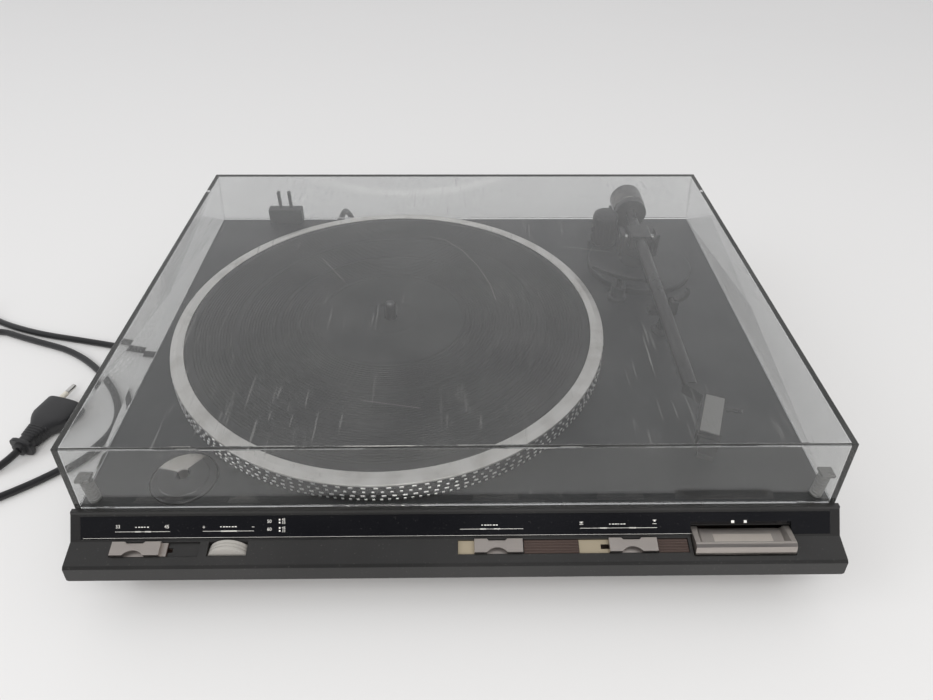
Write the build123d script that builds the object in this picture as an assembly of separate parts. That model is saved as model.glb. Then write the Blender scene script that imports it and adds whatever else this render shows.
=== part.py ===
from build123d import *
import math
import os

# Automatic belt-drive record player. Millimetres, +Z up, front towards -Y.
# Origin: middle of the footprint, on the surface that the feet stand on.

# ---- driving dimensions ----
WIDTH = 430.0                 # fascia, end to end
FRONT = -178.0                # lowest front edge of the fascia
BACK = 178.0                  # back of the cabinet and of the dust cover
HEIGHT = 98.0                 # table to the top of the closed cover
DECK_Z = 53.1                 # top of the deck
BELT_LINE = 27.0              # where the sides turn in towards the base
FOOT_H = 10.0                 # feet and base pan
WALL = 3.0                    # cabinet walls
COVER_WALL = 2.5
CEMENT = 0.03
CABINET_X = 214.0             # half width of the cabinet
DECK_FRONT = -149.2           # front wall of the deck, behind the fascia

COVER_GAP = 0.4               # closed cover over the deck
COVER_X_LOW, COVER_X_TOP = 213.7, 210.0
COVER_FRONT_LOW, COVER_FRONT_TOP = -148.7, -144.9
COVER_BACK_TOP = 177.0
HINGE_X = 153.0               # centre of each hinge, either side
HINGE_Y, HINGE_Z = 174.6, 49.5
HINGE_W = 29.0

PLATTER = (-47.5, 7.7)        # platter axis
PLATTER_R = 151.6             # foot of the strobe band
RING_R = 151.2
MAT_R = 142.0
MAT_TOP = 68.2
RIM_LOW = 54.6
SUB_RIM_R = 95.5              # belt runs on this ring
WELL_R = 146.0
WELL_FLOOR = 46.5
SHAFT_R, PIN_R = 4.0, 3.6     # spindle in its bush, record pin
RUN = 0.05                    # radial clearance of a running fit
MOTOR_REACH, MOTOR_ANGLE = 118.0, 135.0
PULLEY_R = 6.5
BELT_T, BELT_W, BELT_AIR = 0.6, 5.0, 0.3

PIVOT = (147.3, 97.0)         # tonearm pivot
ARM_Z = 80.5                  # tonearm axis
ARM_YAW = -1.4                # arm on its rest, from straight ahead
TUBE_R = 4.5
STUB_R = 4.0
WEIGHT_R = 13.3

ADAPTER = (-159.5, -125.5)
ADAPTER_R = 19.0

CORD_R = 2.6

PARTS = {}


# ---- small helpers ----
def box(x0, x1, y0, y1, z0, z1):
    return Pos((x0 + x1) / 2, (y0 + y1) / 2, (z0 + z1) / 2) * Box(x1 - x0, y1 - y0, z1 - z0)


def post(x, y, r, z0, z1):
    return Pos(x, y, (z0 + z1) / 2) * Cylinder(r, z1 - z0)


def bar_x(y, z, r, x0, x1):
    return Pos((x0 + x1) / 2, y, z) * Rot(0, 90, 0) * Cylinder(r, x1 - x0)


def bar_y(x, z, r, y0, y1):
    return Pos(x, (y0 + y1) / 2, z) * Rot(90, 0, 0) * Cylinder(r, y1 - y0)


def prism_x(points, x0, x1):
    face = Plane.YZ.offset(x0) * Polygon(*points, align=None)
    return extrude(face, amount=x1 - x0, dir=(1, 0, 0))


def prism_z(points, z0, z1):
    face = Plane.XY.offset(z0) * Polygon(*points, align=None)
    return extrude(face, amount=z1 - z0, dir=(0, 0, 1))


def turned(points, x, y):
    """A turned part: (radius, height) outline about a vertical axis at x, y."""
    face = Plane.XZ * Polygon(*points, align=None)
    return Pos(x, y, 0) * revolve(face, Axis.Z, 360)


def frustum(low, high, z_low, z_high):
    """A tapered block between two rectangles, each (x0, x1, y0, y1)."""
    faces = []
    for (x0, x1, y0, y1), z in ((low, z_low), (high, z_high)):
        rect = Pos((x0 + x1) / 2, (y0 + y1) / 2, z) * Rectangle(x1 - x0, y1 - y0)
        faces.append(rect)
    return loft(faces)


def widened(rect, d):
    """The rectangle drawn in front and back by d and pushed well past both sides."""
    x0, x1, y0, y1 = rect
    return (x0 - 9, x1 + 9, y0 + d, y1 - d)


def inset(rect, d):
    x0, x1, y0, y1 = rect
    return (x0 + d, x1 - d, y0 + d, y1 - d)


def group(*solids):
    shape = Part()
    for solid in solids:
        shape += solid
    return shape


def keep(name, shape):
    PARTS[name] = shape


def polar(centre, r, degrees):
    a = math.radians(degrees)
    return (centre[0] + r * math.cos(a), centre[1] + r * math.sin(a))


# ---- cabinet, base and feet ----
SKIRT_TOP = (-212.0, 212.0, -175.0, 176.0)
SKIRT_LOW = inset(SKIRT_TOP, 9.0)
SKIRT_Z = 12.0
MOTOR = polar(PLATTER, MOTOR_REACH, MOTOR_ANGLE)
GLAND = (-110.0, 38.0)        # x, z in the back wall
JACKS = (52.0, 70.0)
JACK_Z = 36.0
FEET = [(-165.0, -128.0), (165.0, -128.0), (-165.0, 132.0), (165.0, 132.0)]
ARM_BASE = (151.0, 96.0)
BOARD_SPOTS = [(-186.0, -136.0), (-104.0, -136.0), (-186.0, -89.0), (-104.0, -89.0)]


def make_cabinet():
    deck_plan = (-CABINET_X, CABINET_X, DECK_FRONT, BACK)
    x0, x1, y0, y1 = deck_plan
    shell = box(x0, x1, y0, y1, BELT_LINE, DECK_Z)
    shell = fillet(shell.edges().filter_by(Axis.Z).group_by(Axis.Y)[-1], 4)
    chamfer_face = [(BACK, DECK_Z - 3), (BACK, DECK_Z + 1), (BACK - 3, DECK_Z + 1), (BACK - 3, DECK_Z)]
    shell -= prism_x(chamfer_face, x0 - 1, x1 + 1)
    inner = inset(deck_plan, WALL)
    shell -= box(*inner, BELT_LINE - 1, DECK_Z - WALL)
    shell -= box(-206, 206, y0 - 1, y0 + WALL + 1, BELT_LINE - 1, 40)
    skirt = frustum(SKIRT_LOW, SKIRT_TOP, SKIRT_Z, BELT_LINE)
    skirt -= frustum(inset(SKIRT_LOW, WALL), inset(SKIRT_TOP, WALL), SKIRT_Z, BELT_LINE)
    cabinet = shell + skirt
    # side walls of the deck stand on the skirt through a narrow shelf
    ledge = box(-CABINET_X, CABINET_X, DECK_FRONT, BACK, BELT_LINE, BELT_LINE + WALL)
    ledge -= box(-208, 208, DECK_FRONT - 1, 172, BELT_LINE - 1, BELT_LINE + WALL + 1)
    cabinet += ledge
    # well under the platter
    px, py = PLATTER
    cabinet += post(px, py, WELL_R + 2.5, WELL_FLOOR - 2.5, DECK_Z - 1)
    cabinet -= post(px, py, WELL_R, WELL_FLOOR, DECK_Z + 1)
    cabinet -= post(px, py, 9.2, WELL_FLOOR - 5, WELL_FLOOR + 1)
    cabinet -= post(*MOTOR, 9.0, WELL_FLOOR - 5, WELL_FLOOR + 1)
    # cup for the adapter
    cabinet += post(*ADAPTER, ADAPTER_R + 2.6, 45.8, DECK_Z - 1)
    cabinet -= post(*ADAPTER, ADAPTER_R + 0.6, 48.4, DECK_Z + 1)
    # holes for the arm base spigot and the two rear hinge pockets
    cabinet -= post(*ARM_BASE, 26.0, DECK_Z - 5, DECK_Z + 1)
    for side in (-1, 1):
        x = side * HINGE_X
        half = HINGE_W / 2 + 0.5
        cabinet += box(x - half - 2, x + half + 2, 162, BACK - 1, 38, DECK_Z - 1)
        cabinet -= box(x - half, x + half, 164.5, BACK + 1, 40.5, DECK_Z + 1)
    # thin place in the front of the skirt, behind the pitch wheel
    cabinet -= box(WHEEL_X - 14, WHEEL_X + 14, -169.6, -160, 18.9, BELT_LINE + 1)
    # rear openings
    cabinet -= bar_y(GLAND[0], GLAND[1], 5.0, BACK - 6, BACK + 1)
    for x in JACKS:
        cabinet -= bar_y(x, JACK_Z, 4.6, BACK - 6, BACK + 1)
    cabinet -= bar_y(92.0, JACK_Z, 3.7, BACK - 1.4, BACK + 1)
    return cabinet


def make_base():
    plan = inset(SKIRT_LOW, 0.5)
    pan = box(*plan, FOOT_H, SKIRT_Z)
    x0, x1, y0, y1 = inset(SKIRT_LOW, 5.0)
    rim = box(x0, x1, y0, y1, SKIRT_Z, SKIRT_Z + 4) - box(*inset((x0, x1, y0, y1), 2), 11, 17)
    pan += rim
    for x in (-120, -60, 60, 120):
        pan -= box(x - 2, x + 2, 60, 110, 9, 13)
    for x, y in BOARD_SPOTS:
        pan += post(x, y, 3.0, SKIRT_Z, 24.0) + post(x, y, 1.5, 24, 26.6)
    keep("base_pan", pan)
    foot = [(0, 0), (11.5, 0), (12, 0.6), (12, 2.5), (16, 4), (17, FOOT_H), (0, FOOT_H)]
    keep("feet", group(*[turned(foot, x, y) for x, y in FEET]))
    spots = [(-192, 20), (192, 20), (-80, -158), (80, -158), (-80, 158), (80, 158)]
    heads = [turned([(0, 8.2), (2.6, 8.2), (3.4, 9.2), (3.4, FOOT_H), (0, FOOT_H)], x, y) for x, y in spots]
    keep("base_screws", group(*heads))


# ---- fascia and controls ----
LEDGE = Plane(origin=(0, -168.7, 39.85), x_dir=(1, 0, 0), z_dir=(0, -0.239, 0.971))
SLOPE_MID = (0, -157.15, 47.25)
SLOPE = Plane(origin=SLOPE_MID, x_dir=(1, 0, 0), z_dir=(0, -0.764, 0.645))
TRACK_Y0, TRACK_Y1 = -2.0, 6.3       # slider track across the ledge
TRACK_DEEP = 1.6
SPEED_X, REPEAT_X, CUE_X = -177.4, 22.3, 97.2
KNOB_L, KNOB_W = 26.8, 7.7
BUTTON = (131.0, 187.0)
BUTTON_BACK, BUTTON_FRONT = -157.0, -172.2
WHEEL_X, WHEEL_R, WHEEL_Z = -127.6, 12.4, 31.6
WHEEL_Y0, WHEEL_Y1 = -169.2, -163.2


def on_ledge(x0, x1, y0, y1, z0, z1):
    return LEDGE * box(x0, x1, y0, y1, z0, z1)


def make_fascia():
    half = WIDTH / 2
    outline = [
        (DECK_FRONT, 48.0), (DECK_FRONT, 54.3), (-151.8, 54.4), (-152.3, 53.0), (-162.0, 41.5),
        (-175.4, 38.2), (-176.8, 36.9), (FRONT, 28.2), (-177.0, BELT_LINE), (DECK_FRONT, BELT_LINE),
    ]
    hollow = [
        (DECK_FRONT + 1, BELT_LINE - 1), (DECK_FRONT + 1, 48.0), (-152.0, 48.0), (-152.2, 49.4),
        (-161.1, 38.8), (-174.2, 35.6), (-175.4, BELT_LINE - 1),
    ]
    fascia = prism_x(outline, -half, half)
    fascia -= prism_x(hollow, -half + 2.5, half - 2.5)
    # the ends turn in towards the bottom corners
    for side in (-1, 1):
        cut = Pos(side * half, -165, BELT_LINE) * Rot(0, 45 + side * 10, 0) * Box(3.2, 60, 3.2)
        fascia -= cut
    # pocket for the window, tracks, wheel slot and button hole
    fascia -= SLOPE * box(-209.6, 209.6, -6.4, 6.3, -1.5, 2)
    fascia -= on_ledge(-191.6, -143.2, TRACK_Y0, TRACK_Y1, -TRACK_DEEP, 3)
    fascia -= on_ledge(-0.3, 128.6, TRACK_Y0, TRACK_Y1, -TRACK_DEEP, 3)
    fascia -= box(-138.4, -116.8, WHEEL_Y0 - 1.2, WHEEL_Y1 + 0.8, 30, 45)
    fascia -= box(WHEEL_X - 13, WHEEL_X + 13, WHEEL_Y0 - 1.2, WHEEL_Y1 + 0.8, 30, 38.6)
    for x0, x1 in ((-179, -158), (12, 25), (79.5, 100)):
        fascia -= on_ledge(x0, x1, 0.9, 3.4, -6, 3)
    fascia -= box(BUTTON[0] - 0.5, BUTTON[1] + 0.5, BUTTON_FRONT - 0.5, BUTTON_BACK + 0.5, 34, 58)
    keep("fascia", fascia)
    window = SLOPE * box(-209.5, 209.5, -6.3, 6.2, -1.5, 0)
    window -= box(BUTTON[0] - 0.5, BUTTON[1] + 0.5, BUTTON_FRONT - 0.5, BUTTON_BACK + 0.5, 34, 58)
    keep("label_window", window)


def make_track_trims():
    strips = [
        on_ledge(-0.2, 10.5, TRACK_Y0 + 0.1, TRACK_Y1 - 0.1, -TRACK_DEEP, -1.35),
        on_ledge(67.3, 84.6, TRACK_Y0 + 0.1, TRACK_Y1 - 0.1, -TRACK_DEEP, -1.35),
    ]
    for i in range(2):
        strips[i] -= on_ledge(12 if i == 0 else 79.5, 130, 0.8, 3.5, -6, 3)
    keep("indicator_strips", group(*strips))
    ribs = group(
        on_ledge(36.3, 67.2, TRACK_Y0 + 0.1, TRACK_Y1 - 0.1, -TRACK_DEEP, -0.3),
        on_ledge(111.2, 128.5, TRACK_Y0 + 0.1, TRACK_Y1 - 0.1, -TRACK_DEEP, -0.3),
    )
    keep("ribbed_trims", ribs)


def slider_knob(x):
    """A flat bar pinched to a ridge in its middle, on a stem through the track."""
    mid = (TRACK_Y0 + TRACK_Y1) / 2
    half = KNOB_L / 2
    knob = on_ledge(x - half, x + half, mid - KNOB_W / 2, mid + KNOB_W / 2, -1.1, 2.2)
    for side in (-1, 1):
        scoop = Pos(x - 0.8, mid + side * 8.6, 0.9) * Cylinder(7.4, 2.8)
        knob -= LEDGE * scoop
    knob += on_ledge(x - 1.6, x + 1.6, 1.35, 2.95, -5.5, -1.0)
    return knob


def make_sliders():
    end = SPEED_X + KNOB_L / 2
    flag = on_ledge(end, end + 3.2, TRACK_Y0 + 0.3, TRACK_Y1 - 0.3, -1.1, -0.4)
    keep("speed_slider", slider_knob(SPEED_X) + flag)
    keep("repeat_slider", slider_knob(REPEAT_X))
    keep("cueing_slider", slider_knob(CUE_X))
    switches = []
    for x0, x1 in ((-184, -153), (5, 33), (75, 108)):
        block = on_ledge(x0, x1, -3.0, 7.0, -8.6, -4.4)
        block -= on_ledge(x0 + 2, x1 - 2, 0.8, 3.5, -6.2, -3)
        switches.append(block)
    seat = box(150, 168, -168.6, -158, 24.0, 26.5)
    seat += post(159.0, -164.5, 1.6, 26.5, 30.5)
    keep("front_switches", group(*switches, seat))


def make_pitch_wheel():
    wheel = bar_y(WHEEL_X, WHEEL_Z, WHEEL_R, WHEEL_Y0, WHEEL_Y1)
    for i in range(2):
        y = WHEEL_Y0 + (WHEEL_Y1 - WHEEL_Y0) * (i + 1) / 3
        ring = bar_y(WHEEL_X, WHEEL_Z, WHEEL_R + 1, y - 0.25, y + 0.25)
        wheel -= ring - bar_y(WHEEL_X, WHEEL_Z, WHEEL_R - 0.35, y - 1, y + 1)
    wheel -= bar_y(WHEEL_X, WHEEL_Z, 2.0 + RUN, WHEEL_Y0 - 1, WHEEL_Y1 + 1)
    keep("pitch_wheel", wheel)
    pot = bar_y(WHEEL_X, WHEEL_Z, 2.0, WHEEL_Y0, WHEEL_Y1 + 1.2)
    pot += bar_y(WHEEL_X, WHEEL_Z, 7.0, WHEEL_Y1 + 1.2, WHEEL_Y1 + 9)
    pot += box(WHEEL_X - 6, WHEEL_X + 6, WHEEL_Y1 + 3, WHEEL_Y1 + 9, 22, WHEEL_Z)
    keep("pitch_potentiometer", pot)


def make_button():
    x0, x1 = BUTTON
    profile = [
        (BUTTON_BACK, 36.0), (BUTTON_BACK, 44.4), (-168.4, 45.4), (-169.4, 45.3), (-171.0, 44.2),
        (BUTTON_FRONT, 41.0), (BUTTON_FRONT, 36.0),
    ]
    cap = prism_x(profile, x0, x1)
    dish_low = (x0 + 5.0, x1 - 5.0, -166.8, BUTTON_BACK + 1)
    dish_top = (x0 + 2.2, x1 - 2.2, -168.2, BUTTON_BACK + 1)
    cap -= frustum(dish_low, dish_top, 42.2, 46.0)
    cap -= box(x0 + 1.5, x1 - 1.5, BUTTON_FRONT + 1.5, BUTTON_BACK - 1.5, 35, 39.5)
    cap += post(159.0, -164.5, 3.0, 33.5, 40.0)
    keep("start_button", cap)
    wire = 0.35
    coil = Helix(pitch=1.5, height=5.6, radius=2.6)
    section = Plane(origin=coil @ 0, z_dir=coil % 0) * Circle(wire)
    spring = sweep(section, path=coil)
    keep("button_spring", Pos(159.0, -164.5, 27.2) * spring)


# ---- platter, bearing and drive ----
def make_platter():
    px, py = PLATTER
    bore = SHAFT_R + RUN
    seat = MAT_TOP - 2.8
    under = MAT_TOP - 6.8
    outline = [
        (bore, seat), (MAT_R + 0.3, seat), (MAT_R + 0.3, MAT_TOP - 0.2), (147.0, MAT_TOP - 0.2),
        (RING_R, MAT_TOP - 1.3), (RING_R + 0.2, MAT_TOP - 2.0), (PLATTER_R, RIM_LOW), (149.3, RIM_LOW),
        (148.2, under), (SUB_RIM_R, under), (SUB_RIM_R, 49.0), (SUB_RIM_R - 3, 49.0),
        (SUB_RIM_R - 3, under), (14.0, under), (14.0, 50.0), (bore, 50.0),
    ]
    keep("platter", turned(outline, px, py))
    dip = MAT_TOP - 0.7
    mat = [(4.4, seat), (MAT_R, seat), (MAT_R, MAT_TOP - 0.6), (MAT_R - 0.8, MAT_TOP), (52.0, MAT_TOP),
           (50.5, dip), (4.4, dip)]
    keep("platter_mat", turned(mat, px, py))
    top = MAT_TOP + 13.0
    spindle = [(0, 24.1), (SHAFT_R - 1, 24.1), (SHAFT_R, 25.5), (SHAFT_R, dip - 0.7), (PIN_R, dip),
               (PIN_R, top - 3), (3.1, top - 1.4), (1.8, top - 0.3), (0, top)]
    keep("spindle", turned(spindle, px, py))
    bush = [(0, 18.0), (9.0, 18.0), (9.0, 41.5), (22.0, 41.5), (22.0, 44.0), (9.0, 44.0),
            (9.0, 48.6), (bore, 48.6), (bore, 24.0), (2.3, 24.0), (2.3, 20.0), (0, 20.0)]
    keep("bearing_bush", turned(bush, px, py))
    keep("thrust_ball", Pos(px, py, 22.05) * Sphere(2.0))


def belt_loop(grow):
    """The belt's outline round both wheels, grown by a distance."""
    big = SUB_RIM_R + BELT_AIR + grow
    small = PULLEY_R + BELT_AIR + grow
    lean = math.degrees(math.acos((SUB_RIM_R - PULLEY_R) / MOTOR_REACH))
    up, down = MOTOR_ANGLE + lean, MOTOR_ANGLE - lean
    a, b = polar(PLATTER, big, up), polar(PLATTER, big, down)
    c, d = polar(MOTOR, small, down), polar(MOTOR, small, up)
    far = polar(PLATTER, big, MOTOR_ANGLE + 180)
    tip = polar(MOTOR, small, MOTOR_ANGLE)
    edges = [ThreePointArc(a, far, b), Line(b, c), ThreePointArc(c, tip, d), Line(d, a)]
    return make_face(Wire(edges).edges())


def make_drive():
    belt = belt_loop(BELT_T) - belt_loop(0)
    keep("drive_belt", extrude(Pos(0, 0, 54.0) * belt, amount=BELT_W, dir=(0, 0, 1)))
    mx, my = MOTOR
    lip = PULLEY_R + 0.2
    pulley = [(1.05, 52.5), (lip, 52.5), (lip, 53.4), (PULLEY_R, 53.7), (PULLEY_R, 59.3), (lip, 59.6),
              (lip, 60.6), (1.05, 60.6)]
    keep("motor_pulley", turned(pulley, mx, my) + post(mx, my, 1.05, 40.1, 61.0))
    can = [(0, 16.0), (15.0, 16.0), (17.5, 18.0), (17.5, 41.0), (7.5, 41.0), (7.5, 45.0), (1.05 + RUN, 45.0),
           (1.05 + RUN, 40.0), (0, 40.0)]
    keep("drive_motor", turned(can, mx, my))
    plate = box(mx - 24, mx + 24, my - 20, my + 20, 41.0, 42.4) - post(mx, my, 7.6, 40, 43)
    corners = [(mx - 20, my - 16), (mx + 20, my - 16), (mx - 20, my + 16), (mx + 20, my + 16)]
    for x, y in corners:
        plate -= post(x, y, 2.2, 40, 43)
    keep("motor_bracket", plate)
    # rubber sleeves and screws that hang the bracket from the well
    sleeves = [post(x, y, 4.0, 42.4, 44.0) - post(x, y, 1.6, 42, 45) for x, y in corners]
    screws = [post(x, y, 1.5, 39.8, 44.0) + post(x, y, 3.0, 38.6, 41.0) for x, y in corners]
    keep("motor_mounts", group(*sleeves, *screws))


# ---- electrics inside ----
def make_electrics():
    core = box(-196, -158, 128, 158, 14.0, 36.0) - box(-189, -165, 126, 160, 18, 32)
    core += box(-180, -174, 128, 158, 18, 32)
    coil = box(-188.8, -165.2, 123, 163, 18.2, 31.8) - box(-180.2, -173.8, 120, 166, 17, 33)
    keep("transformer", group(core, coil))
    board = box(-190, -100, -140, -85, 24.0, 25.6)
    for x, y in BOARD_SPOTS:
        board -= post(x, y, 1.6, 23, 27)
    bits = [post(-170, -118, 6, 25.6, 40), post(-154, -118, 5, 25.6, 38), post(-140, -120, 4, 25.6, 36),
            box(-130, -112, -126, -119, 25.6, 29.5), box(-176, -158, -102, -94, 25.6, 29.0),
            box(-140, -118, -104, -98, 25.6, 40.0)]
    keep("servo_board", group(board, *bits))


def make_back_fittings():
    x, z = GLAND
    gland = bar_y(x, z, 4.9, BACK - 3.5, BACK) + bar_y(x, z, 7.0, BACK, BACK + 2.0)
    gland += bar_y(x, z, 6.5, BACK - 6.5, BACK - 3.2)
    low_end = (Align.CENTER, Align.CENTER, Align.MIN)
    gland += Pos(x, BACK + 2.0, z) * Rot(-90, 0, 0) * Cone(4.6, 3.1, 24, align=low_end)
    keep("cord_gland", gland)
    jacks = []
    for jx in JACKS:
        jack = bar_y(jx, JACK_Z, 4.5, BACK - 14, BACK - 3.2) + bar_y(jx, JACK_Z, 4.1, BACK - 4, BACK - 0.4)
        jacks.append(jack - bar_y(jx, JACK_Z, 1.6, BACK - 9, BACK + 1))
    ground = bar_y(92.0, JACK_Z, 3.6, BACK - 1.4, BACK - 0.2)
    keep("rear_terminals", group(*jacks, ground))


# ---- dust cover and hinges ----
def make_cover():
    low = (-COVER_X_LOW, COVER_X_LOW, COVER_FRONT_LOW, BACK)
    top = (-COVER_X_TOP, COVER_X_TOP, COVER_FRONT_TOP, COVER_BACK_TOP)
    z0 = DECK_Z + COVER_GAP
    cover = frustum(low, top, z0, HEIGHT)
    cover -= frustum(inset(low, COVER_WALL), inset(top, COVER_WALL), z0, HEIGHT - COVER_WALL)
    # five plates of acrylic with a hair's breadth of cement between them
    lid_z = HEIGHT - COVER_WALL
    lid = cover & box(-300, 300, -300, 300, lid_z, HEIGHT)
    walls = cover & box(-300, 300, -300, 300, z0, lid_z - CEMENT)
    between = frustum(widened(low, COVER_WALL), widened(top, COVER_WALL), z0, HEIGHT)
    inside = frustum(widened(low, COVER_WALL + CEMENT), widened(top, COVER_WALL + CEMENT), z0, HEIGHT)
    ends = (walls - between).solids().sort_by(Axis.Y)
    sides = (walls & inside).solids()
    keep("dust_cover", group(lid, *sides, ends[-1]))
    keep("dust_cover_front", ends[0])
    # bumpers in the front corners, each on a small shelf glued to the walls
    bumpers = []
    for side in (-1, 1):
        x0, x1 = sorted((side * 201.5, side * 212.0))
        shelf = box(x0, x1, -147.0, -136.4, 71.2, 73.0) - cover
        bumpers.append(shelf + post(side * 205.2, -140.3, 3.5, DECK_Z + 0.2, 71.2))
    keep("cover_bumpers", group(*bumpers))


def make_hinge(side, name):
    x = side * HINGE_X
    half = HINGE_W / 2
    y, z = HINGE_Y, HINGE_Z
    # socket in the cabinet's pocket: floor, front wall and two ears for the pin
    socket = box(x - half, x + half, 164.7, BACK - 0.4, 40.7, 44.6)
    socket += box(x - half, x + half, 164.7, 166.4, 44.0, 52.9)
    cheek = [(166.0, 44.0), (BACK - 0.6, 44.0), (BACK - 0.6, 50.4), (175.4, 52.4), (166.0, 52.6)]
    for ear in (-1, 1):
        e0, e1 = sorted((x + ear * half, x + ear * (half - 4)))
        socket += prism_x(cheek, e0, e1) - bar_x(y, z, 1.5, e0 - 1, e1 + 1)
    # leaf: barrel on the pin, holder block with two prongs against the cover's back wall
    inside = half - 4.3
    leaf = bar_x(y, z, 3.2, x - inside, x + inside)
    leaf += box(x - inside, x + inside, 170.6, 174.9, z, 55.0)
    leaf += box(x - half, x + half, 166.2, 174.9, 54.2, 67.0)
    for px in (-4.6, 4.6):
        leaf += box(x + px - 1.2, x + px + 1.2, 171.6, 174.4, 67.0, 82.0)
    leaf -= bar_x(y, z, 1.5 + RUN, x - half, x + half)
    keep("hinge_leaf_" + name, leaf)
    return socket, bar_x(y, z, 1.5, x - half, x + half)


# ---- tonearm ----
def arm(shape):
    """Place a shape made with the pivot at 0, 0 and the arm towards -Y."""
    return Pos(PIVOT[0], PIVOT[1], 0) * Rot(0, 0, ARM_YAW) * shape


def make_arm_base():
    bx, by = ARM_BASE
    base = turned([(0, DECK_Z), (42, DECK_Z), (42, 57.4), (40.8, 58.6), (0, 58.6)], bx, by)
    base += post(bx, by, 25.5, 46.0, DECK_Z)
    base += post(*PIVOT, 12.0, 58.0, 66.0)
    base -= post(*PIVOT, 5.0 + RUN, 44, 70)
    base += post(125.5, 127.0, 12.4, DECK_Z, 60.0)
    keep("arm_base", base)
    dial = [(0, 60.0), (10.5, 60.0), (10.5, 82.5), (9.6, 85.0), (7.0, 86.6), (0, 87.2)]
    knob = turned(dial, 125.5, 127.0)
    for i in range(24):
        x, y = polar((125.5, 127.0), 10.9, i * 15)
        knob -= post(x, y, 0.7, 62, 80)
    keep("anti_skate_dial", knob)


def make_yoke():
    yoke = post(0, 0, 5.0, 47.0, 66.4) + post(0, 0, 13.5, 66.4, 69.0)
    for side in (-1, 1):
        x0, x1 = sorted((side * 12.4, side * 15.2))
        yoke += box(x0, x1, -6.5, 6.5, 66.4, ARM_Z + 5)
        yoke += box(min(0, x0), max(0, x1), -6.5, 6.5, 66.4, 69.0)
    yoke -= bar_x(0, ARM_Z, 2.0, -20, 20)
    keep("arm_yoke", arm(yoke))
    pivots = []
    for side in (-1, 1):
        a, b = sorted((side * 15.6, side * 9.0))
        c, d = sorted((side * 9.0, side * 6.4))
        pivots.append(arm(bar_x(0, ARM_Z, 2.0, a, b) + bar_x(0, ARM_Z, 1.0, c, d)))
    keep("pivot_screws", group(*pivots))
    block = box(-8.6, 8.6, -10, 9, ARM_Z - 6.2, ARM_Z + 5.6)
    block = fillet(block.edges().filter_by(Axis.Y), 2.0)
    block -= bar_x(0, ARM_Z, 1.0 + RUN, -9, -6.0) + bar_x(0, ARM_Z, 1.0 + RUN, 6.0, 9)
    block += bar_y(0, ARM_Z, STUB_R, 8.0, 60.0)
    keep("arm_bearing_block", arm(block))


SHELL_REAR = (10.9, -191.8)          # arm frame
SHELL_TURN = -20.6
SHELL_L = 31.0


def shell(shape):
    """Place a shape made with the shell's rear middle at 0, 0 and its nose towards -Y."""
    return arm(Pos(SHELL_REAR[0], SHELL_REAR[1], 0) * Rot(0, 0, SHELL_TURN) * shape)


def make_tonearm():
    tube = bar_y(0, ARM_Z, TUBE_R, -179, -10.0)
    tube -= bar_y(0, ARM_Z, TUBE_R - 0.6, -178, -11)
    keep("arm_tube", arm(tube))
    elbow = [(-4.9, -179), (4.9, -179), (17.0, -188.0), (17.4, -195.0), (4.4, -190.0)]
    neck = arm(prism_z(elbow, 76.2, 84.0))
    body = shell(box(-7.0, 7.0, -SHELL_L, 0.6, 77.0, 84.0))
    body -= shell(box(-6.3, 6.3, -SHELL_L - 1, -10.0, 76.0, 81.7))
    keep("headshell", neck + body)
    plate = shell(box(-5.4, 5.4, -SHELL_L, 0.4, 84.0, 84.7))
    keep("shell_plate", plate)
    cartridge = box(-6.1, 6.1, -32.5, -10.3, 74.6, 81.6)
    keep("cartridge", shell(cartridge))
    nose = prism_x([(-32.5, 74.6), (-32.5, 80.6), (-41.0, 78.6), (-41.8, 75.8), (-40.4, 74.6)], -4.6, 4.6)
    nose -= box(-1.6, 1.6, -40.0, -33.4, 74.0, 76.4)
    nose += Pos(0, -35.6, 75.4) * Rot(63, 0, 0) * Cylinder(0.35, 5.0)
    nose += post(0, -37.6, 0.3, 72.4, 74.7)
    keep("stylus_unit", shell(nose))
    lift = box(7.0, 9.4, -6.4, -3.2, 81.0, 82.2)
    lift += box(9.2, 15.4, -6.2, -3.4, 81.6, 82.6)
    lift += bar_y(15.4, 82.6, 1.0, -6.2, -3.4)
    keep("finger_lift", shell(lift))
    weight = bar_y(0, ARM_Z, WEIGHT_R, 43.6, 66.0)
    weight = chamfer(weight.edges().filter_by(GeomType.CIRCLE), 0.9)
    weight -= bar_y(0, ARM_Z, STUB_R + RUN, 30, 70)
    keep("counterweight", arm(weight))
    dial = bar_y(0, ARM_Z, WEIGHT_R - 0.5, 37.0, 43.3)
    dial -= bar_y(0, ARM_Z, STUB_R + RUN, 30, 50)
    keep("force_dial", arm(dial))


REST_X, REST_Y = 145.2, 9.0          # where the tube crosses the rest
CLIP_PIN = (154.4, 78.6)


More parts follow.
